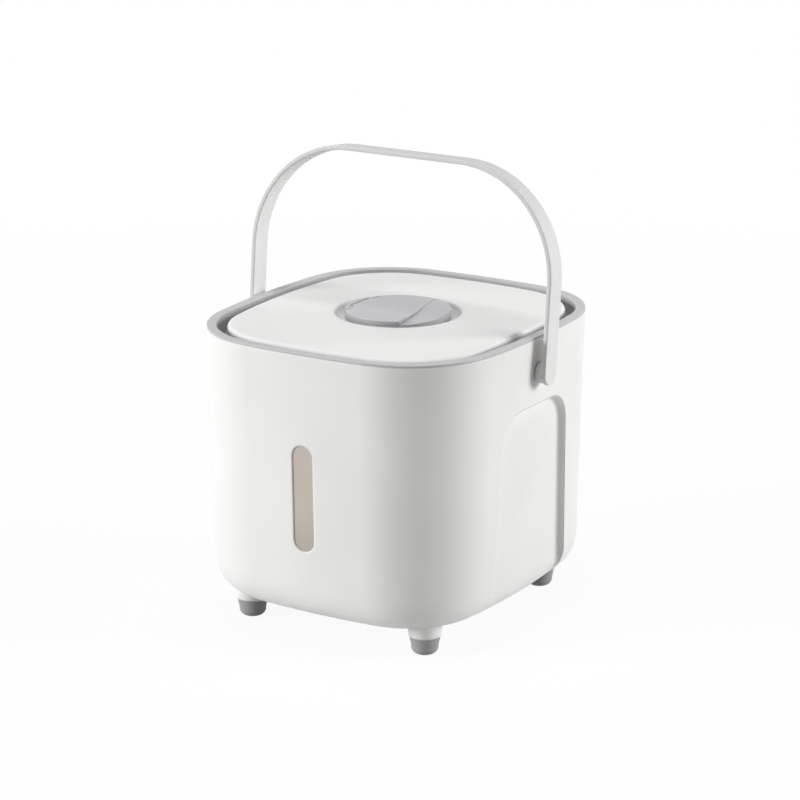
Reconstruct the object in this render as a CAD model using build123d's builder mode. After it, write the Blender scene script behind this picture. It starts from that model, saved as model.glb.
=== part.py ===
from build123d import *
import os
from math import cos, hypot, radians, sin, tan

# Grain storage container: a rounded-square bin on four short feet, with a lift-off lid, a flip-up pull
# in the lid and a bail handle. Millimetres; the origin is on the floor, under the middle of the bin.
# The front, with the window, faces -Y, and the handle swings on the left and right sides.

# Bin
body_width = 210.0  # at the rim, left to right
body_depth = 230.0  # at the rim, front to back
rim_height = 196.5  # floor to the top of the rim
side_radius = 515.0  # bow of the four sides
corner_radius = 64.0
draft_angle = 1.2  # each side leans in towards the bottom
underside_height = 18.0  # floor to the bottom of the bin
bottom_radius = 24.0
wall = 2.6
floor_thickness = 3.0

# Recessed panel on each side
panel_width = 80.0  # at its top
panel_flare = 2.9  # degrees that its upright edges lean out towards the bottom
panel_gap = 13.5  # top of the panel up to the end of the handle
panel_corner_radius = 22.0
panel_depth = 5.0
panel_cove = 4.0  # rounding where the panel's edge meets its floor
panel_runout = 1.5  # drop that lets the panel fade out in the bottom rounding

# Socket for each end of the handle
socket_radius = 8.0
socket_end = 2.0
socket_gap = 1.0  # top of the socket up to the mouth ring's ledge

# Mouth ring
ring_flange = 1.5
ring_edge_radius = 0.7
ring_width = 6.2
ring_leg = 1.8
ring_lip_height = 5.0
ring_fit = 0.25
moat_depth = 13.0  # top of the rim to the ledge
ledge_thickness = 2.0
ledge_width = 13.3

# Window
window_width = 15.0
window_length = 70.0
window_middle = 101.5  # height of the slot's middle above the floor
window_edge_radius = 0.5
window_set_back = 0.8
window_fit = 0.1
lens_flange = 4.0
lens_thickness = 1.8

# Feet
foot_inset_x = 39.0  # foot centre in from the rim's outside, left to right
foot_inset_y = 40.5  # foot centre in from the rim's outside, front to back
stub_radius = 10.5
stub_draft = 6.0
cap_height = 12.2
cap_step = 0.4  # the cap is this much slimmer than the stub
cap_waist_radius = 8.7
cap_sole_radius = 4.0
cap_round_height = 5.4
spigot_radius = 5.5
spigot_length = 8.0
spigot_fit = 0.1

# Lid
moat_width = 7.0  # gap between the ring and the lid
lid_crown = 1.5
lid_edge_radius = 3.0
lid_wall = 2.2
lid_plate = 2.4
seal_thickness = 3.0
seal_inset = 0.5
seal_fit = 0.15
plug_gap = 1.5  # gap between the lid's plug and the ring's ledge
plug_depth = 12.0
plug_edge_radius = 3.0
tray_wall = 2.0
tray_flange = 2.4
tray_fit = 0.15
post_radius = 5.0
post_inset = 55.0

# Dish and pull in the middle of the lid
pull_radius = 34.3
dish_gap = 7.1  # open ring of the dish round the pull
dish_floor_gap = 2.3  # level part of that ring
dish_depth = 3.6
pull_height = 6.0  # dish floor to the top of the pull
pull_edge_radius = 0.9
flap_thickness = 3.0
flap_gap = 0.3
hinge_inset = 5.6  # hinge axis in from the pull's rim
knuckle_width = 24.0
hinge_clearance = 0.05
pin_radius = 0.75
pin_end = 4.0  # length of pin in each ear
step_front = 19.5  # where the flap's free edge meets the pull's rim in front
step_middle = 14.3
step_rear = 8.0  # where it meets the rim behind
ramp_drop = 3.1  # how far the finger ramp falls at the front of the rim
ramp_start = 18.0  # the ramp is level behind this line
screw_inset = 6.0  # screw axes in from the pull's rim
screw_boss_radius = 3.5
screw_boss_fit = 0.15
screw_head_radius = 4.6
screw_head = 1.6
screw_radius = 1.4
screw_cover = 0.5  # housing left over the tip of a screw

# Handle
handle_clearance = 5.0  # side of the rim to the inside of a leg
handle_thickness = 3.2
handle_strip = 15.0
handle_top = 301.2  # floor to the top of the upright handle
handle_corner = 71.5
handle_edge_radius = 0.9
handle_lean = 5.5  # degrees towards the back at rest
peg_radius = 4.0
peg_length = 8.0  # inside the side of the rim
peg_clearance = 0.05
peg_play = 0.4  # end of the peg to the bottom of its socket
boss_radius = 6.8
boss_gap = 0.2  # side of the rim to the boss

# Heights and insets that follow from the sizes above
body_top = rim_height - ring_flange
ledge_top = rim_height - moat_depth
lid_inset = ring_width + moat_width
ledge_inset = ring_width + ledge_width
plug_inset = ledge_inset + plug_gap
skirt_bottom = ledge_top + seal_thickness
plate_bottom = rim_height - lid_plate
tray_floor = skirt_bottom - plug_depth + tray_wall
dish_radius = pull_radius + dish_gap
dish_floor_radius = pull_radius + dish_floor_gap
crown_top = rim_height + lid_crown
crown_radius = (body_depth / 2 - lid_inset) ** 2 / (2 * lid_crown)
lip_height = crown_top - dish_radius**2 / (2 * crown_radius)
dish_floor = lip_height - dish_depth
dish_underside = dish_floor - lid_plate
pull_top = dish_floor + pull_height
flap_bottom = pull_top - flap_thickness
seat_top = flap_bottom - flap_gap
hinge_height = pull_top - flap_thickness / 2
knuckle_radius = flap_thickness / 2
hinge_offset = pull_radius - hinge_inset
pin_length = knuckle_width + 2 * pin_end
screw_circle = pull_radius - screw_inset
screw_length = seat_top - screw_cover - dish_underside
pivot_height = ledge_top - ledge_thickness - socket_gap - socket_radius
socket_depth = peg_length + peg_play
panel_top = pivot_height - handle_strip / 2 - panel_gap
panel_foot_width = panel_width + 2 * panel_top * tan(radians(panel_flare))
handle_inside = body_width / 2 + handle_clearance
cap_top_radius = stub_radius - cap_step
foot_x = body_width / 2 - foot_inset_x
foot_y = body_depth / 2 - foot_inset_y

os.makedirs("parts", exist_ok=True)


def body_outline(inset):
    """Bowed square of the bin with round corners, drawn in from the outside by the inset."""
    reach_x = side_radius - body_width / 2
    reach_y = side_radius - body_depth / 2
    with BuildSketch(mode=Mode.PRIVATE) as outline:
        with Locations((-reach_x, 0)):
            Circle(side_radius - inset)
        for side_centre in ((reach_x, 0), (0, -reach_y), (0, reach_y)):
            with Locations(side_centre):
                Circle(side_radius - inset, mode=Mode.INTERSECT)
        fillet(outline.vertices(), corner_radius - inset)
    return outline.sketch


def tub(inset, underside, edge_radius):
    """Tapered solid of the bin's outline, drawn in by the inset, with a rounded bottom edge."""
    with BuildPart(mode=Mode.PRIVATE) as form:
        with BuildSketch(Plane.XY.offset(body_top)):
            add(body_outline(inset))
        extrude(amount=underside - body_top, taper=draft_angle)
        fillet(form.faces().sort_by(Axis.Z)[0].edges(), edge_radius)
    return form.part


def side_panel(margin):
    """Outline of a side panel, grown by the margin, with +Y across and +Z up."""
    half = panel_width / 2 + margin
    foot_half = panel_foot_width / 2 + margin
    top = panel_top + margin
    with BuildSketch(mode=Mode.PRIVATE) as panel:
        with BuildLine():
            Polyline((-foot_half, 0), (-half, top), (half, top), (foot_half, 0), close=True)
        make_face()
        fillet(panel.vertices().group_by(Axis.Y)[-1], panel_corner_radius + margin)
    return panel.sketch


# Panels that are sunk into the bin's sides.
panel_floor = tub(panel_depth, underside_height - panel_runout, bottom_radius - panel_depth)
with BuildPart() as panel_cuts:
    with BuildSketch(Plane.YZ):
        add(side_panel(0))
    extrude(amount=body_width)
    add(panel_floor, mode=Mode.SUBTRACT)
    floor_edges = panel_cuts.edges(Select.LAST)
    cove_edges = floor_edges.filter_by(
        lambda edge: abs(edge.center().Y) > panel_width / 2 - panel_cove
        or edge.center().Z > panel_top - panel_corner_radius
    )
    fillet(cove_edges, panel_cove)
    mirror(about=Plane.YZ)

# The bin's inside, which keeps a wall behind the panels.
panel_back = tub(panel_depth + wall, underside_height, bottom_radius - panel_depth - wall)
with BuildPart() as panel_backs:
    with BuildSketch(Plane.YZ):
        add(side_panel(wall))
    extrude(amount=body_width)
    add(panel_back, mode=Mode.SUBTRACT)
    mirror(about=Plane.YZ)

with BuildPart() as cavity:
    add(tub(wall, underside_height + floor_thickness, bottom_radius - wall))
    add(panel_backs.part, mode=Mode.SUBTRACT)

# Bin: one moulding, with a stub and spigot for each foot and a closed socket for each handle peg.
with BuildPart() as body_shell:
    add(tub(0, underside_height, bottom_radius))
    with BuildSketch(Plane.XY.offset(cap_height)):
        with GridLocations(2 * foot_x, 2 * foot_y, 2, 2):
            Circle(stub_radius)
    extrude(amount=bottom_radius, taper=-stub_draft)
    add(panel_cuts.part, mode=Mode.SUBTRACT)
    with BuildSketch(Plane.XZ):
        with Locations((0, window_middle)):
            SlotOverall(window_length, window_width, rotation=90)
    extrude(amount=body_depth, mode=Mode.SUBTRACT)
    slot_edges = body_shell.edges(Select.LAST).filter_by(lambda edge: edge.center().Y < -body_depth / 4)
    fillet(slot_edges - slot_edges.filter_by(Axis.Y), window_edge_radius)
    add(cavity.part, mode=Mode.SUBTRACT)
    with BuildSketch(Plane.XY.offset(cap_height)):
        with GridLocations(2 * foot_x, 2 * foot_y, 2, 2):
            Circle(spigot_radius)
    extrude(amount=-spigot_length)
    for side in (-1, 1):
        side_plane = Plane((side * body_width / 2, 0, pivot_height), x_dir=(0, 1, 0), z_dir=(-side, 0, 0))
        with BuildSketch(side_plane.offset(wall)):
            Circle(socket_radius)
        extrude(amount=socket_depth + socket_end - wall)
        with BuildSketch(side_plane):
            Circle(peg_radius + peg_clearance)
        extrude(amount=socket_depth, mode=Mode.SUBTRACT)
body_shell.part.label = "body_shell"
export_step(body_shell.part, "parts/body_shell.step")

# Window: a clear strip that fills the slot a little below the surface, on a flange bonded inside.
with BuildPart() as lens_back:
    with BuildSketch(Plane.XZ):
        with Locations((0, window_middle)):
            SlotOverall(window_length + 2 * lens_flange, window_width + 2 * lens_flange, rotation=90)
    extrude(amount=body_depth)
    add(tub(wall, underside_height, bottom_radius - wall), mode=Mode.INTERSECT)

with BuildPart() as window_lens:
    with BuildSketch(Plane.XZ):
        with Locations((0, window_middle)):
            SlotOverall(window_length - 2 * window_fit, window_width - 2 * window_fit, rotation=90)
    extrude(amount=body_depth)
    add(tub(window_set_back, underside_height, bottom_radius - window_set_back), mode=Mode.INTERSECT)
    add(lens_back.part)
    inner_face = wall + lens_thickness
    add(tub(inner_face, underside_height, bottom_radius - inner_face), mode=Mode.SUBTRACT)
window_lens.part.label = "window_lens"
export_step(window_lens.part, "parts/window_lens.step")

# Mouth ring: a flange on the bin's edge, a leg inside it and a ledge that carries the lid.
with BuildPart() as mouth_ring:
    with BuildSketch(Plane.XY.offset(rim_height)):
        add(body_outline(0))
        add(body_outline(ring_width), mode=Mode.SUBTRACT)
    extrude(amount=-ring_flange)
    fillet(mouth_ring.faces().sort_by(Axis.Z)[-1].edges(), ring_edge_radius)
    with BuildSketch(Plane.XY.offset(body_top)):
        add(body_outline(wall + ring_fit))
        add(body_outline(ring_width), mode=Mode.SUBTRACT)
    extrude(amount=-ring_lip_height)
    with BuildSketch(Plane.XY.offset(body_top)):
        add(body_outline(ring_width - ring_leg))
        add(body_outline(ring_width), mode=Mode.SUBTRACT)
    extrude(amount=ledge_top - ledge_thickness - body_top)
    with BuildSketch(Plane.XY.offset(ledge_top)):
        add(body_outline(ring_width - ring_leg))
        add(body_outline(ledge_inset), mode=Mode.SUBTRACT)
    extrude(amount=-ledge_thickness)
mouth_ring.part.label = "mouth_ring"
export_step(mouth_ring.part, "parts/mouth_ring.step")

# Feet: a soft cap on each spigot, narrowing to a rounded sole.
foot_places = {
    "foot_cap_front_left": (-foot_x, -foot_y),
    "foot_cap_front_right": (foot_x, -foot_y),
    "foot_cap_rear_left": (-foot_x, foot_y),
    "foot_cap_rear_right": (foot_x, foot_y),
}
socket_bottom = cap_height - spigot_length - spigot_fit
for foot_name, (x, y) in foot_places.items():
    with BuildPart() as foot_cap:
        with BuildSketch(Plane((x, y, 0), x_dir=(1, 0, 0), z_dir=(0, -1, 0))):
            with BuildLine():
                Line((0, 0), (cap_sole_radius, 0))
                sole = TangentArc((cap_sole_radius, 0), (cap_waist_radius, cap_round_height), tangent=(1, 0))
                Line(sole @ 1, (cap_top_radius, cap_height))
                Line((cap_top_radius, cap_height), (spigot_radius + spigot_fit, cap_height))
                Line((spigot_radius + spigot_fit, cap_height), (spigot_radius + spigot_fit, socket_bottom))
                Line((spigot_radius + spigot_fit, socket_bottom), (0, socket_bottom))
                Line((0, socket_bottom), (0, 0))
            make_face()
        revolve(axis=Axis((x, y, 0), (0, 0, 1)))
    foot_cap.part.label = foot_name
    export_step(foot_cap.part, f"parts/{foot_name}.step")

# Lid cover: a crowned plate with a skirt, a round dish for the pull and posts down to the tray.
with BuildPart() as lid_cover:
    with BuildSketch(Plane.XY.offset(skirt_bottom)):
        add(body_outline(lid_inset))
    extrude(amount=crown_top - skirt_bottom)
    with Locations((0, 0, crown_top - crown_radius)):
        Sphere(crown_radius, mode=Mode.INTERSECT)
    fillet(lid_cover.faces().sort_by(Axis.Z)[-1].edges(), lid_edge_radius)
    with BuildSketch(Plane.XY.offset(skirt_bottom)):
        add(body_outline(lid_inset + lid_wall))
    extrude(amount=plate_bottom - skirt_bottom, mode=Mode.SUBTRACT)
    with BuildSketch(Plane.XY.offset(dish_underside)):
        Circle(dish_radius + lid_plate)
    extrude(amount=plate_bottom - dish_underside)
    with BuildSketch(Plane.XY.offset(tray_floor)):
        with GridLocations(body_width - 2 * post_inset, body_depth - 2 * post_inset, 2, 2):
            Circle(post_radius)
    extrude(amount=plate_bottom - tray_floor)
    with BuildSketch(Plane.XZ):
        with BuildLine():
            Line((0, dish_floor), (dish_floor_radius, dish_floor))
            bowl = TangentArc((dish_floor_radius, dish_floor), (dish_radius, lip_height), tangent=(1, 0))
            Line(bowl @ 1, (dish_radius, crown_top))
            Line((dish_radius, crown_top), (0, crown_top))
            Line((0, crown_top), (0, dish_floor))
        make_face()
    revolve(axis=Axis.Z, mode=Mode.SUBTRACT)
    with BuildSketch(Plane.XY.offset(dish_floor)):
        with PolarLocations(screw_circle, 4, start_angle=45):
            Circle(screw_boss_radius + screw_boss_fit)
    extrude(amount=-lid_plate, mode=Mode.SUBTRACT)
lid_cover.part.label = "lid_cover"
export_step(lid_cover.part, "parts/lid_cover.step")

# Lid base: a tray that closes the cover from below; its plug centres the lid in the ledge.
with BuildPart() as lid_base:
    with BuildSketch(Plane.XY.offset(skirt_bottom)):
        add(body_outline(plug_inset))
    extrude(amount=-plug_depth)
    fillet(lid_base.faces().sort_by(Axis.Z)[0].edges(), plug_edge_radius)
    with BuildSketch(Plane.XY.offset(skirt_bottom)):
        add(body_outline(lid_inset + lid_wall + tray_fit))
    extrude(amount=tray_flange)
    with BuildSketch(Plane.XY.offset(tray_floor)):
        add(body_outline(plug_inset + tray_wall))
    extrude(amount=skirt_bottom + tray_flange - tray_floor, mode=Mode.SUBTRACT)
lid_base.part.label = "lid_base"
export_step(lid_base.part, "parts/lid_base.step")

# Seal: a flat soft ring stretched round the plug.
with BuildPart() as lid_seal:
    with BuildSketch(Plane.XY.offset(ledge_top)):
        add(body_outline(lid_inset + seal_inset))
        add(body_outline(plug_inset - seal_fit), mode=Mode.SUBTRACT)
    extrude(amount=seal_thickness)
lid_seal.part.label = "lid_seal"
export_step(lid_seal.part, "parts/lid_seal.step")


def flap_side(left, gap):
    """Area over the pull from the line at left to the flap's slanting free edge, moved right by the gap."""
    reach = pull_radius + pull_edge_radius
    front = (step_front + gap, -reach)
    rear = (step_rear + gap, reach)
    with BuildSketch(mode=Mode.PRIVATE) as area:
        with BuildLine():
            ThreePointArc(front, (step_middle + gap, 0), rear)
            Polyline(rear, (left, reach), (left, -reach), front)
        make_face()
    return area.sketch


# Pull housing: a round block in the dish, with ears for the hinge and a ramp for a fingertip.
ear_face = -hinge_offset + knuckle_radius + flap_gap
ear_reach = hypot(knuckle_radius + flap_gap, pull_top - hinge_height)
flap_left = -hinge_offset + ear_reach + flap_gap
knuckle_slot = -hinge_offset - knuckle_radius - flap_gap
with BuildPart() as pull_base:
    with BuildSketch(Plane.XY.offset(dish_floor)):
        Circle(pull_radius)
    extrude(amount=pull_height)
    fillet(pull_base.faces().sort_by(Axis.Z)[-1].edges(), pull_edge_radius)
    with BuildSketch(Plane.XY.offset(seat_top)):
        add(flap_side(ear_face, flap_gap))
    extrude(amount=pull_height, mode=Mode.SUBTRACT)
    with Locations((knuckle_slot, 0, seat_top)):
        Box(
            pull_radius,
            knuckle_width + 2 * flap_gap,
            pull_height,
            align=(Align.MIN, Align.CENTER, Align.MIN),
            mode=Mode.SUBTRACT,
        )
    with BuildSketch(Plane.YZ):
        with BuildLine():
            Polyline(
                (ramp_start, pull_top),
                (-pull_radius, pull_top - ramp_drop),
                (-pull_radius, pull_top),
                close=True,
            )
        make_face()
    extrude(amount=pull_radius, mode=Mode.SUBTRACT)
    with BuildSketch(Plane.XY.offset(dish_floor)):
        with PolarLocations(screw_circle, 4, start_angle=45):
            Circle(screw_boss_radius)
    extrude(amount=-lid_plate)
    with BuildSketch(Plane.XY.offset(dish_underside)):
        with PolarLocations(screw_circle, 4, start_angle=45):
            Circle(screw_radius)
    extrude(amount=screw_length, mode=Mode.SUBTRACT)
    with BuildSketch(Plane.XZ.offset(pin_length / 2)):
        with Locations((-hinge_offset, hinge_height)):
            Circle(pin_radius)
    extrude(amount=-pin_length - pull_radius, mode=Mode.SUBTRACT)
pull_base.part.label = "pull_base"
export_step(pull_base.part, "parts/pull_base.step")

# Pull flap: lies in the housing's top, with a round knuckle on the hinge pin.
with BuildPart() as pull_flap:
    with BuildSketch(Plane.XY.offset(flap_bottom)):
        Circle(pull_radius)
        add(flap_side(flap_left, 0), mode=Mode.INTERSECT)
    extrude(amount=flap_thickness)
    fillet(pull_flap.faces().sort_by(Axis.Z)[-1].edges().filter_by(GeomType.CIRCLE), pull_edge_radius)
    with BuildSketch(Plane.XY.offset(flap_bottom)):
        with Locations((-hinge_offset, 0)):
            Rectangle(hinge_offset, knuckle_width, align=(Align.MIN, Align.CENTER))
    extrude(amount=flap_thickness)
    with BuildSketch(Plane.XZ.offset(knuckle_width / 2)):
        with Locations((-hinge_offset, hinge_height)):
            Circle(knuckle_radius)
    extrude(amount=-knuckle_width)
    with BuildSketch(Plane.XZ.offset(knuckle_width / 2)):
        with Locations((-hinge_offset, hinge_height)):
            Circle(pin_radius + hinge_clearance)
    extrude(amount=-knuckle_width, mode=Mode.SUBTRACT)
pull_flap.part.label = "pull_flap"
export_step(pull_flap.part, "parts/pull_flap.step")

# Hinge pin of the pull flap.
with BuildPart() as pull_pin:
    with BuildSketch(Plane.XZ.offset(pin_length / 2)):
        with Locations((-hinge_offset, hinge_height)):
            Circle(pin_radius)
    extrude(amount=-pin_length)
pull_pin.part.label = "pull_pin"
export_step(pull_pin.part, "parts/pull_pin.step")

# Four flanged screws that clamp the dish floor to the pull housing.
with BuildPart() as pull_screws:
    with BuildSketch(Plane.XY.offset(dish_underside)):
        with PolarLocations(screw_circle, 4, start_angle=45):
            Circle(screw_head_radius)
    extrude(amount=-screw_head)
    with BuildSketch(Plane.XY.offset(dish_underside)):
        with PolarLocations(screw_circle, 4, start_angle=45):
            Circle(screw_radius)
    extrude(amount=screw_length)
pull_screws.part.label = "pull_screws"
export_step(pull_screws.part, "parts/pull_screws.step")

# Handle: a flat strip bent into a bail, with a boss and a peg at each end.
lean = radians(handle_lean)
handle_plane = Plane((0, 0, pivot_height), x_dir=(1, 0, 0), z_dir=(0, -cos(lean), sin(lean)))
handle_outside = handle_inside + handle_thickness
handle_rise = handle_top - pivot_height
end_planes = [
    Plane((side * handle_outside, 0, pivot_height), x_dir=(0, 1, 0), z_dir=(-side, 0, 0))
    for side in (-1, 1)
]
with BuildPart() as carry_handle:
    with BuildSketch(handle_plane):
        with BuildLine():
            FilletPolyline(
                (-handle_outside, 0),
                (-handle_outside, handle_rise),
                (handle_outside, handle_rise),
                (handle_outside, 0),
                radius=handle_corner,
            )
            Line((handle_outside, 0), (-handle_outside, 0))
        make_face()
        with BuildLine():
            FilletPolyline(
                (-handle_inside, 0),
                (-handle_inside, handle_rise - handle_thickness),
                (handle_inside, handle_rise - handle_thickness),
                (handle_inside, 0),
                radius=handle_corner - handle_thickness,
            )
            Line((handle_inside, 0), (-handle_inside, 0))
        make_face(mode=Mode.SUBTRACT)
    extrude(amount=handle_strip / 2, both=True)
    for end_plane in end_planes:
        with BuildSketch(end_plane):
            Circle(handle_strip / 2)
        extrude(amount=handle_thickness)
    lines_across = carry_handle.edges().filter_by(Axis((0, 0, 0), handle_plane.z_dir))
    fillet(carry_handle.edges() - lines_across, handle_edge_radius)
    for end_plane in end_planes:
        with BuildSketch(end_plane.offset(handle_thickness / 2)):
            Circle(boss_radius)
        extrude(amount=handle_outside - handle_thickness / 2 - body_width / 2 - boss_gap)
        with BuildSketch(end_plane.offset(handle_thickness)):
            Circle(peg_radius)
        extrude(amount=handle_inside - body_width / 2 + peg_length)
carry_handle.part.label = "carry_handle"
export_step(carry_handle.part, "parts/carry_handle.step")
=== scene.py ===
import bpy
from math import cos, radians, sin
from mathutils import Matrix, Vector


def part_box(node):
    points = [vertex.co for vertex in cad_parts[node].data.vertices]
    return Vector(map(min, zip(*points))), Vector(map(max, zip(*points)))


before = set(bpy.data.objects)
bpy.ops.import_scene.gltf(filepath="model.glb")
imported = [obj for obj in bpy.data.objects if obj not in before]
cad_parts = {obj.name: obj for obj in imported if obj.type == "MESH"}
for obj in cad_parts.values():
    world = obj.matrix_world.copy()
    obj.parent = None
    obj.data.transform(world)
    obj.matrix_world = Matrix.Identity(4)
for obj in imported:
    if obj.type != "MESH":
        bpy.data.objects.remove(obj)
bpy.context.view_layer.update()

# Bin shell: one thick-walled injection moulding in white polypropylene, with a fine satin mould skin.
# It carries the feet on spigots, the window in a slot in front and the handle in a socket on each side.
SHELL_TONE = (0.84, 0.835, 0.825, 1.0)
SHELL_SHADE = (0.80, 0.795, 0.785, 1.0)
SHELL_GLOSS = 0.42
SHELL_EDGE = 0.002
SATIN_SHINE = 0.3
PLASTIC_IOR = 1.49
GLOSS_RANGE = 0.1
GRAIN_SCALE = 1400.0
GRAIN_DEPTH = 0.00002
GRAIN_STRENGTH = 0.35
EDGE_SAMPLES = 8


def add_node(tree, kind, values=(), **settings):
    """A shader node of that kind, with its settings and the values of its sockets."""
    made = tree.nodes.new(kind)
    for setting, value in settings.items():
        setattr(made, setting, value)
    for socket, value in dict(values).items():
        made.inputs[socket].default_value = value
    return made


def new_group(name, inputs, outputs):
    """An empty node group with those sockets, and its input and output nodes."""
    group = bpy.data.node_groups.new(name, "ShaderNodeTree")
    for socket_name, kind, value in inputs:
        socket = group.interface.new_socket(socket_name, in_out="INPUT", socket_type=kind)
        socket.default_value = value
    for socket_name, kind in outputs:
        group.interface.new_socket(socket_name, in_out="OUTPUT", socket_type=kind)
    return group, group.nodes.new("NodeGroupInput"), group.nodes.new("NodeGroupOutput")


def make_moulded_skin():
    """Faint clouding of the colour, patches of rubbed gloss and the fine grain of a moulded surface."""
    cloud_scale = 11.0
    cloud_detail = 3.0
    cloud_low = 0.35
    cloud_high = 0.65
    rub_scale = 46.0
    rub_detail = 4.0
    rub_roughness = 0.6
    noise_middle = 0.5
    grain_detail = 2.0
    group, given, out = new_group(
        "moulded_skin",
        [
            ("Tone", "NodeSocketColor", SHELL_TONE),
            ("Shade", "NodeSocketColor", SHELL_SHADE),
            ("Gloss", "NodeSocketFloat", SHELL_GLOSS),
            ("Gloss Range", "NodeSocketFloat", GLOSS_RANGE),
            ("Grain Scale", "NodeSocketFloat", GRAIN_SCALE),
        ],
        [
            ("Color", "NodeSocketColor"),
            ("Roughness", "NodeSocketFloat"),
            ("Height", "NodeSocketFloat"),
        ],
    )
    place = add_node(group, "ShaderNodeTexCoord")
    cloud = add_node(group, "ShaderNodeTexNoise", {"Scale": cloud_scale, "Detail": cloud_detail})
    spread = add_node(group, "ShaderNodeMapRange", {"From Min": cloud_low, "From Max": cloud_high})
    tint = add_node(group, "ShaderNodeMix", data_type="RGBA")
    rub = add_node(
        group, "ShaderNodeTexNoise", {"Scale": rub_scale, "Detail": rub_detail, "Roughness": rub_roughness}
    )
    centred = add_node(group, "ShaderNodeMath", {1: noise_middle}, operation="SUBTRACT")
    gloss = add_node(group, "ShaderNodeMath", operation="MULTIPLY_ADD")
    grain = add_node(group, "ShaderNodeTexNoise", {"Detail": grain_detail})
    links = group.links
    for noise in (cloud, rub, grain):
        links.new(place.outputs["Object"], noise.inputs["Vector"])
    links.new(given.outputs["Grain Scale"], grain.inputs["Scale"])
    links.new(cloud.outputs["Fac"], spread.inputs["Value"])
    links.new(spread.outputs["Result"], tint.inputs["Factor"])
    links.new(given.outputs["Tone"], tint.inputs["A"])
    links.new(given.outputs["Shade"], tint.inputs["B"])
    links.new(rub.outputs["Fac"], centred.inputs[0])
    links.new(centred.outputs["Value"], gloss.inputs[0])
    links.new(given.outputs["Gloss Range"], gloss.inputs[1])
    links.new(given.outputs["Gloss"], gloss.inputs[2])
    links.new(tint.outputs["Result"], out.inputs["Color"])
    links.new(gloss.outputs["Value"], out.inputs["Roughness"])
    links.new(grain.outputs["Fac"], out.inputs["Height"])
    return group


def make_soft_edge():
    """The small rounding that a mould leaves on every corner, as a normal."""
    group, given, out = new_group(
        "soft_edge",
        [("Radius", "NodeSocketFloat", SHELL_EDGE)],
        [("Normal", "NodeSocketVector")],
    )
    bevel = add_node(group, "ShaderNodeBevel", samples=EDGE_SAMPLES)
    group.links.new(given.outputs["Radius"], bevel.inputs["Radius"])
    group.links.new(bevel.outputs["Normal"], out.inputs["Normal"])
    return group


moulded_skin = make_moulded_skin()
soft_edge = make_soft_edge()


def start_material(name):
    """A new material's node tree and its surface shader."""
    material = bpy.data.materials.new(name)
    material.use_nodes = True
    return material, material.node_tree, material.node_tree.nodes["Principled BSDF"]


def moulded_plastic(name, tone, shade, gloss, edge, grain_scale=GRAIN_SCALE, grain_depth=GRAIN_DEPTH):
    """A satin moulded plastic with the shared skin and softened corners."""
    material, tree, surface = start_material(name)
    skin = add_node(
        tree,
        "ShaderNodeGroup",
        {
            "Tone": tone,
            "Shade": shade,
            "Gloss": gloss,
            "Gloss Range": GLOSS_RANGE,
            "Grain Scale": grain_scale,
        },
        node_tree=moulded_skin,
    )
    corner = add_node(tree, "ShaderNodeGroup", {"Radius": edge}, node_tree=soft_edge)
    bump = add_node(tree, "ShaderNodeBump", {"Strength": GRAIN_STRENGTH, "Distance": grain_depth})
    surface.inputs["IOR"].default_value = PLASTIC_IOR
    surface.inputs["Specular IOR Level"].default_value = SATIN_SHINE
    tree.links.new(skin.outputs["Color"], surface.inputs["Base Color"])
    tree.links.new(skin.outputs["Roughness"], surface.inputs["Roughness"])
    tree.links.new(skin.outputs["Height"], bump.inputs["Height"])
    tree.links.new(corner.outputs["Normal"], bump.inputs["Normal"])
    tree.links.new(bump.outputs["Normal"], surface.inputs["Normal"])
    return material


def finish_node(node_name, material):
    """Gives a CAD piece its material."""
    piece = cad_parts[node_name]
    piece.data.materials.clear()
    piece.data.materials.append(material)


finish_node("body_shell", moulded_plastic("shell_white", SHELL_TONE, SHELL_SHADE, SHELL_GLOSS, SHELL_EDGE))

# Mouth ring: a grey polypropylene moulding pressed on the bin's edge. Its top shows as a plain grey band,
# and its leg and ledge line the deep groove round the lid.
RING_TONE = (0.53, 0.53, 0.53, 1.0)
RING_SHADE = (0.50, 0.50, 0.50, 1.0)
RING_GLOSS = 0.45
RING_EDGE = 0.0004

finish_node("mouth_ring", moulded_plastic("ring_grey", RING_TONE, RING_SHADE, RING_GLOSS, RING_EDGE))

# Window: a clear styrene strip, bonded behind the slot, that has a smoky warm tint.
# It shows greyer at its upper end, where the chamber is open to it, and darker towards the bottom, as
# painted shade of the slot's lower edge.
WINDOW_WARM = (0.53, 0.46, 0.40, 1.0)
WINDOW_TOP = (0.50, 0.47, 0.45, 1.0)
# Painted shade: the darker tone towards the bottom of the strip.
WINDOW_LOW_SHADE = (0.44, 0.40, 0.34, 1.0)
WINDOW_LOW_END = 0.1
WINDOW_WARM_SPAN = (0.35, 0.82)
WINDOW_TOP_END = 0.95
WINDOW_GLOSS = 0.22
WINDOW_IOR = 1.55
STREAK_STRETCH = (700.0, 700.0, 24.0)
STREAK_DETAIL = 3.0
STREAK_DARK = 0.94
STREAK_PALE = 1.06


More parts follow.
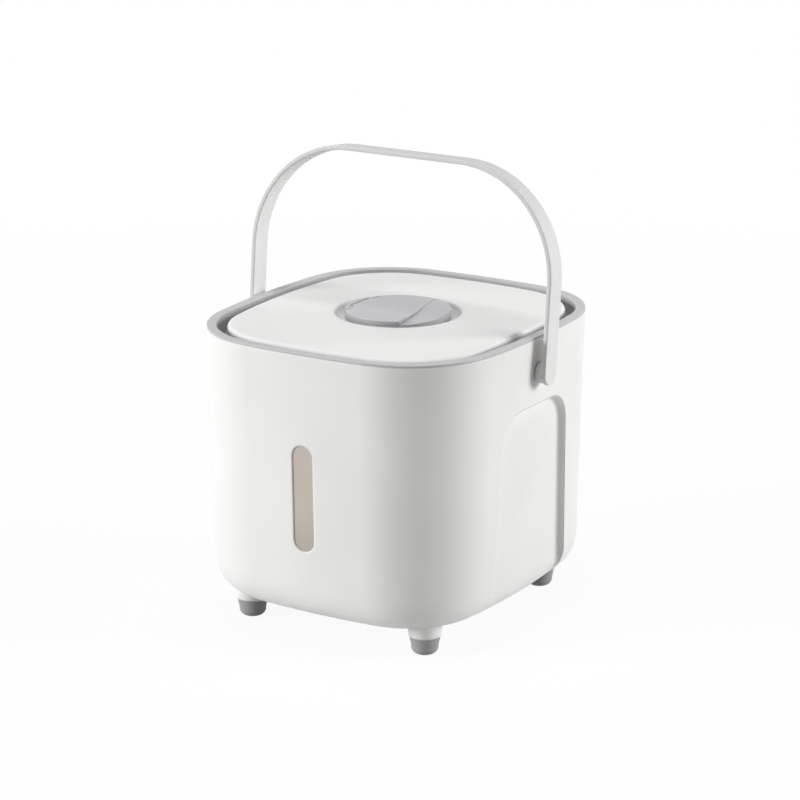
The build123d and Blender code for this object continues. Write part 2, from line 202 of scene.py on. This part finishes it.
def make_window_material():
    """Warm tinted strip, with its tone running from end to end and faint upright streaks."""
    low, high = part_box("window_lens")
    material, tree, surface = start_material("window_smoke")
    place = add_node(tree, "ShaderNodeTexCoord")
    split = add_node(tree, "ShaderNodeSeparateXYZ")
    along = add_node(tree, "ShaderNodeMapRange", {"From Min": low.z, "From Max": high.z})
    tones = add_node(tree, "ShaderNodeValToRGB")
    ramp = tones.color_ramp.elements
    ramp[0].position = WINDOW_LOW_END
    ramp[0].color = WINDOW_LOW_SHADE
    ramp[1].position = WINDOW_TOP_END
    ramp[1].color = WINDOW_TOP
    for position in WINDOW_WARM_SPAN:
        middle = ramp.new(position)
        middle.color = WINDOW_WARM
    stretch = add_node(tree, "ShaderNodeMapping", {"Scale": STREAK_STRETCH})
    streak = add_node(tree, "ShaderNodeTexNoise", {"Scale": 1.0, "Detail": STREAK_DETAIL})
    faint = add_node(tree, "ShaderNodeMapRange", {"To Min": STREAK_DARK, "To Max": STREAK_PALE})
    tint = add_node(tree, "ShaderNodeMix", {"Factor": 1.0}, data_type="RGBA", blend_type="MULTIPLY")
    links = tree.links
    links.new(place.outputs["Object"], split.inputs["Vector"])
    links.new(split.outputs["Z"], along.inputs["Value"])
    links.new(along.outputs["Result"], tones.inputs["Fac"])
    links.new(place.outputs["Object"], stretch.inputs["Vector"])
    links.new(stretch.outputs["Vector"], streak.inputs["Vector"])
    links.new(streak.outputs["Fac"], faint.inputs["Value"])
    links.new(tones.outputs["Color"], tint.inputs["A"])
    links.new(faint.outputs["Result"], tint.inputs["B"])
    links.new(tint.outputs["Result"], surface.inputs["Base Color"])
    surface.inputs["Roughness"].default_value = WINDOW_GLOSS
    surface.inputs["IOR"].default_value = WINDOW_IOR
    return material


finish_node("window_lens", make_window_material())

# Foot caps: soft grey elastomer cups pushed on the spigots under the bin, one at each corner.
# Their skin is matt, and the soles are scuffed paler where they slide on a worktop.
FOOT_TONE = (0.36, 0.36, 0.36, 1.0)
FOOT_SHADE = (0.335, 0.335, 0.335, 1.0)
FOOT_SCUFF = (0.43, 0.425, 0.42, 1.0)
FOOT_GLOSS = 0.62
FOOT_EDGE = 0.0004
FOOT_GRAIN_SCALE = 1900.0
SCUFF_HEIGHT = 0.0025
SCUFF_SCALE = 420.0
SCUFF_DETAIL = 4.0


def make_foot_material():
    """Matt grey elastomer with a scuffed sole."""
    material = moulded_plastic(
        "foot_grey", FOOT_TONE, FOOT_SHADE, FOOT_GLOSS, FOOT_EDGE, grain_scale=FOOT_GRAIN_SCALE
    )
    tree = material.node_tree
    surface = tree.nodes["Principled BSDF"]
    skin_colour = surface.inputs["Base Color"].links[0].from_socket
    place = add_node(tree, "ShaderNodeTexCoord")
    split = add_node(tree, "ShaderNodeSeparateXYZ")
    low = add_node(tree, "ShaderNodeMapRange", {"From Max": SCUFF_HEIGHT, "To Min": 1.0, "To Max": 0.0})
    patches = add_node(tree, "ShaderNodeTexNoise", {"Scale": SCUFF_SCALE, "Detail": SCUFF_DETAIL})
    worn = add_node(tree, "ShaderNodeMath", operation="MULTIPLY")
    tint = add_node(tree, "ShaderNodeMix", {"B": FOOT_SCUFF}, data_type="RGBA")
    links = tree.links
    links.new(place.outputs["Object"], split.inputs["Vector"])
    links.new(place.outputs["Object"], patches.inputs["Vector"])
    links.new(split.outputs["Z"], low.inputs["Value"])
    links.new(low.outputs["Result"], worn.inputs[0])
    links.new(patches.outputs["Fac"], worn.inputs[1])
    links.new(worn.outputs["Value"], tint.inputs["Factor"])
    links.new(skin_colour, tint.inputs["A"])
    links.new(tint.outputs["Result"], surface.inputs["Base Color"])
    return material


foot_material = make_foot_material()
for corner_name in ("front_left", "front_right", "rear_left", "rear_right"):
    finish_node(f"foot_cap_{corner_name}", foot_material)

# Handle: a flat bail moulded in white polypropylene, a little more yielding and less shiny than the bin.
# Its pegs snap into the sockets, and it swings down to the front or to the back. Its upward faces, mostly
# on the bar that a hand holds, and the narrow front and back edges of the strip get a painted shade, a
# greyer tone than the legs.
HANDLE_TONE = (0.76, 0.756, 0.75, 1.0)
HANDLE_SHADE = (0.735, 0.731, 0.725, 1.0)
HANDLE_PAINTED_SHADE = (0.82, 0.82, 0.82, 1.0)
HANDLE_GLOSS = 0.62
HANDLE_EDGE = 0.001
HANDLE_GRAIN = 0.000004


def make_facing():
    """Masks by the way a face looks in its piece's own frame: up, upright, or to the front or back, for
    painted shade.
    """
    up_from = 0.1
    up_full = 0.7
    upright_from = 0.6
    upright_full = 0.2
    depth_from = 0.5
    depth_full = 0.95
    group, _, out = new_group(
        "facing",
        [],
        [
            ("Up", "NodeSocketFloat"),
            ("Upright", "NodeSocketFloat"),
            ("Front Or Back", "NodeSocketFloat"),
        ],
    )
    place = add_node(group, "ShaderNodeTexCoord")
    split = add_node(group, "ShaderNodeSeparateXYZ")
    up = add_node(group, "ShaderNodeMapRange", {"From Min": up_from, "From Max": up_full})
    steepness = add_node(group, "ShaderNodeMath", operation="ABSOLUTE")
    upright = add_node(group, "ShaderNodeMapRange", {"From Min": upright_from, "From Max": upright_full})
    depth = add_node(group, "ShaderNodeMath", operation="ABSOLUTE")
    front_or_back = add_node(group, "ShaderNodeMapRange", {"From Min": depth_from, "From Max": depth_full})
    links = group.links
    links.new(place.outputs["Normal"], split.inputs["Vector"])
    links.new(split.outputs["Z"], up.inputs["Value"])
    links.new(split.outputs["Z"], steepness.inputs[0])
    links.new(steepness.outputs["Value"], upright.inputs["Value"])
    links.new(split.outputs["Y"], depth.inputs[0])
    links.new(depth.outputs["Value"], front_or_back.inputs["Value"])
    links.new(up.outputs["Result"], out.inputs["Up"])
    links.new(upright.outputs["Result"], out.inputs["Upright"])
    links.new(front_or_back.outputs["Result"], out.inputs["Front Or Back"])
    return group


facing = make_facing()


def paint_shade_on_faces(material, masks, tone):
    """Painted shade: multiplies a material's colour by a tone on the faces that any of those facing masks
    picks.
    """
    tree = material.node_tree
    surface = tree.nodes["Principled BSDF"]
    skin_colour = surface.inputs["Base Color"].links[0].from_socket
    faces = add_node(tree, "ShaderNodeGroup", node_tree=facing)
    tint = add_node(tree, "ShaderNodeMix", {"B": tone}, data_type="RGBA", blend_type="MULTIPLY")
    picked = faces.outputs[masks[0]]
    for mask in masks[1:]:
        either = add_node(tree, "ShaderNodeMath", operation="MAXIMUM")
        tree.links.new(picked, either.inputs[0])
        tree.links.new(faces.outputs[mask], either.inputs[1])
        picked = either.outputs["Value"]
    tree.links.new(picked, tint.inputs["Factor"])
    tree.links.new(skin_colour, tint.inputs["A"])
    tree.links.new(tint.outputs["Result"], surface.inputs["Base Color"])
    return material


handle_material = moulded_plastic(
    "handle_white", HANDLE_TONE, HANDLE_SHADE, HANDLE_GLOSS, HANDLE_EDGE, grain_depth=HANDLE_GRAIN
)
# Painted shade on the handle's upward faces and on its front and back edges.
finish_node("carry_handle", paint_shade_on_faces(handle_material, ("Up", "Front Or Back"), HANDLE_PAINTED_SHADE))

# Lid: a white cover over a white tray, both polypropylene, snapped together into one hollow lid.
# The cover is slightly crowned, and its rounded edge stands proud in the groove of the ring.
LID_TONE = (0.84, 0.837, 0.83, 1.0)
LID_SHADE = (0.81, 0.807, 0.80, 1.0)
LID_GLOSS = 0.44
LID_EDGE = 0.002

lid_material = moulded_plastic("lid_white", LID_TONE, LID_SHADE, LID_GLOSS, LID_EDGE)
finish_node("lid_cover", lid_material)
finish_node("lid_base", lid_material)

# Lid seal: a soft silicone ring stretched round the tray, which closes on the ledge of the mouth ring.
# It is milky white and matt.
SEAL_TONE = (0.74, 0.74, 0.73, 1.0)
SEAL_SHADE = (0.70, 0.70, 0.69, 1.0)
SEAL_GLOSS = 0.60
SEAL_EDGE = 0.0006

finish_node("lid_seal", moulded_plastic("seal_silicone", SEAL_TONE, SEAL_SHADE, SEAL_GLOSS, SEAL_EDGE))

# Pull: a grey polypropylene housing screwed into the dish, and a grey flap hinged in its top.
# Both are one colour with the mouth ring, but a shade cooler. Their upright walls get a painted shade, a
# darker tone than the top, for the shade of the dish that they stand in.
PULL_TONE = (0.53, 0.53, 0.55, 1.0)
PULL_SHADE = (0.505, 0.505, 0.525, 1.0)
PULL_PAINTED_SHADE = (0.76, 0.76, 0.76, 1.0)
PULL_GLOSS = 0.42
PULL_EDGE = 0.0003

pull_material = moulded_plastic("pull_grey", PULL_TONE, PULL_SHADE, PULL_GLOSS, PULL_EDGE)
# Painted shade on the upright walls of the pull.
paint_shade_on_faces(pull_material, ("Upright",), PULL_PAINTED_SHADE)
finish_node("pull_base", pull_material)
finish_node("pull_flap", pull_material)

# Hinge pin and screws of the pull: plain bright steel, turned or rolled, with fine marks round the shank.
# The pin sits in the housing, and four flanged screws hold the housing to the lid from below.
STEEL_TONE = (0.62, 0.62, 0.61, 1.0)
STEEL_SHADE = (0.54, 0.54, 0.53, 1.0)
STEEL_STRETCH = (300.0, 2600.0, 2600.0)
STEEL_DETAIL = 3.0
STEEL_BRIGHT = 0.24
STEEL_DULL = 0.4


def make_steel_material():
    """Bright steel with fine tool marks."""
    material, tree, surface = start_material("steel_plain")
    place = add_node(tree, "ShaderNodeTexCoord")
    stretch = add_node(tree, "ShaderNodeMapping", {"Scale": STEEL_STRETCH})
    marks = add_node(tree, "ShaderNodeTexNoise", {"Scale": 1.0, "Detail": STEEL_DETAIL})
    tint = add_node(tree, "ShaderNodeMix", {"A": STEEL_TONE, "B": STEEL_SHADE}, data_type="RGBA")
    polish = add_node(tree, "ShaderNodeMapRange", {"To Min": STEEL_BRIGHT, "To Max": STEEL_DULL})
    surface.inputs["Metallic"].default_value = 1.0
    links = tree.links
    links.new(place.outputs["Object"], stretch.inputs["Vector"])
    links.new(stretch.outputs["Vector"], marks.inputs["Vector"])
    links.new(marks.outputs["Fac"], tint.inputs["Factor"])
    links.new(marks.outputs["Fac"], polish.inputs["Value"])
    links.new(tint.outputs["Result"], surface.inputs["Base Color"])
    links.new(polish.outputs["Result"], surface.inputs["Roughness"])
    return material


steel_material = make_steel_material()
finish_node("pull_pin", steel_material)
finish_node("pull_screws", steel_material)

# Studio floor: a wide pale sweep. The camera sees it almost white near the object, where it keeps a soft
# shadow, and white farther off. It throws less light back on the object than it shows, as if dark cards lay
# beside it, and its glow is only for the eye, so it isn't sampled as a lamp.
FLOOR_REACH = 12.0
FLOOR_TONE = (0.92, 0.92, 0.92, 1.0)
FLOOR_BOUNCE = (0.62, 0.62, 0.62, 1.0)
FLOOR_ROUGHNESS = 0.9
FLOOR_WHITE = 0.93
FLOOR_FADE_START = 0.3
FLOOR_FADE_END = 1.2


def camera_and_mirror_rays(tree):
    """A value of 1 for rays that come from the camera, from a gloss or through glass, and else 0."""
    path = add_node(tree, "ShaderNodeLightPath")
    seen = add_node(tree, "ShaderNodeMath", operation="MAXIMUM")
    shown = add_node(tree, "ShaderNodeMath", operation="MAXIMUM")
    tree.links.new(path.outputs["Is Camera Ray"], seen.inputs[0])
    tree.links.new(path.outputs["Is Glossy Ray"], seen.inputs[1])
    tree.links.new(seen.outputs["Value"], shown.inputs[0])
    tree.links.new(path.outputs["Is Transmission Ray"], shown.inputs[1])
    return shown.outputs["Value"]


def make_floor():
    """A flat floor that shows white and catches a light shadow."""
    mesh = bpy.data.meshes.new("studio_floor")
    corners = [(x * FLOOR_REACH, y * FLOOR_REACH, 0.0) for x, y in ((-1, -1), (1, -1), (1, 1), (-1, 1))]
    mesh.from_pydata(corners, [], [(0, 1, 2, 3)])
    floor = bpy.data.objects.new("studio_floor", mesh)
    bpy.context.scene.collection.objects.link(floor)
    material, tree, surface = start_material("floor_white")
    material.cycles.emission_sampling = "NONE"
    surface.inputs["Roughness"].default_value = FLOOR_ROUGHNESS
    surface.inputs["Specular IOR Level"].default_value = 0.0
    glow = add_node(tree, "ShaderNodeEmission", {"Strength": 1.0})
    tone = add_node(tree, "ShaderNodeMix", {"A": FLOOR_BOUNCE, "B": FLOOR_TONE}, data_type="RGBA")
    place = add_node(tree, "ShaderNodeTexCoord")
    reach = add_node(tree, "ShaderNodeVectorMath", operation="LENGTH")
    fade = add_node(
        tree,
        "ShaderNodeMapRange",
        {"From Min": FLOOR_FADE_START, "From Max": FLOOR_FADE_END, "To Min": FLOOR_WHITE, "To Max": 1.0},
    )
    share = add_node(tree, "ShaderNodeMath", operation="MULTIPLY")
    mix = add_node(tree, "ShaderNodeMixShader")
    output = tree.nodes["Material Output"]
    shown = camera_and_mirror_rays(tree)
    tree.links.new(shown, tone.inputs["Factor"])
    tree.links.new(tone.outputs["Result"], surface.inputs["Base Color"])
    tree.links.new(place.outputs["Object"], reach.inputs[0])
    tree.links.new(reach.outputs["Value"], fade.inputs["Value"])
    tree.links.new(shown, share.inputs[0])
    tree.links.new(fade.outputs["Result"], share.inputs[1])
    tree.links.new(share.outputs["Value"], mix.inputs["Fac"])
    tree.links.new(surface.outputs["BSDF"], mix.inputs[1])
    tree.links.new(glow.outputs["Emission"], mix.inputs[2])
    tree.links.new(mix.outputs["Shader"], output.inputs["Surface"])
    mesh.materials.append(material)


make_floor()

# Studio light: two large soft boxes, one to the left in front and one to the right behind, so that the
# corner towards the camera falls into soft shade, with a third overhead and a faint even sky.
SKY_TONE = (1.0, 1.0, 1.0, 1.0)
SKY_LEVEL = 0.01
LIGHT_AIM = Vector((0.0, 0.0, 0.1))
SOFT_BOXES = {
    "left_box": {"azimuth": -42.5, "elevation": 18.0, "distance": 3.4, "size": 1.5, "watts": 107.5},
    "right_box": {"azimuth": 117.0, "elevation": 18.0, "distance": 3.4, "size": 1.5, "watts": 95.0},
    "top_box": {"azimuth": 0.0, "elevation": 88.0, "distance": 2.0, "size": 0.9, "watts": 17.3},
}


def direction_from(azimuth, elevation):
    """Unit vector from the object; azimuth 0 is straight in front and 90 is to the right."""
    turn = radians(azimuth)
    rise = radians(elevation)
    return Vector((sin(turn) * cos(rise), -cos(turn) * cos(rise), sin(rise)))


def place_facing(thing, direction, distance, aim):
    """Puts a lamp or camera at that distance from the aim and turns it to look there."""
    thing.location = aim + direction * distance
    thing.rotation_euler = (-direction).to_track_quat("-Z", "Y").to_euler()


def make_sky():
    """An even sky that shows white and lights the object only faintly."""
    world = bpy.data.worlds.new("studio_sky")
    bpy.context.scene.world = world
    world.use_nodes = True
    tree = world.node_tree
    background = tree.nodes["Background"]
    background.inputs["Color"].default_value = SKY_TONE
    level = add_node(tree, "ShaderNodeMapRange", {"To Min": SKY_LEVEL, "To Max": 1.0})
    tree.links.new(camera_and_mirror_rays(tree), level.inputs["Value"])
    tree.links.new(level.outputs["Result"], background.inputs["Strength"])


make_sky()
for box_name, setting in SOFT_BOXES.items():
    lamp = bpy.data.lights.new(box_name, "AREA")
    lamp.shape = "SQUARE"
    lamp.size = setting["size"]
    lamp.energy = setting["watts"]
    soft_box = bpy.data.objects.new(box_name, lamp)
    bpy.context.scene.collection.objects.link(soft_box)
    direction = direction_from(setting["azimuth"], setting["elevation"])
    place_facing(soft_box, direction, setting["distance"], LIGHT_AIM)

# Camera: a long lens from the front right, a little above the lid, with the bin in the middle of a square
# picture.
CAMERA_AZIMUTH = 31.72
CAMERA_ELEVATION = 16.42
CAMERA_DISTANCE = 1.8804
CAMERA_AIM = Vector((-0.0053, 0.0109, 0.1343))
CAMERA_LENS = 128.7
CAMERA_SENSOR = 36.0

camera_data = bpy.data.cameras.new("studio_camera")
camera_data.sensor_width = CAMERA_SENSOR
camera_data.lens = CAMERA_LENS
camera = bpy.data.objects.new("studio_camera", camera_data)
bpy.context.scene.collection.objects.link(camera)
place_facing(camera, direction_from(CAMERA_AZIMUTH, CAMERA_ELEVATION), CAMERA_DISTANCE, CAMERA_AIM)
bpy.context.scene.camera = camera
bpy.context.scene.view_settings.view_transform = "Standard"
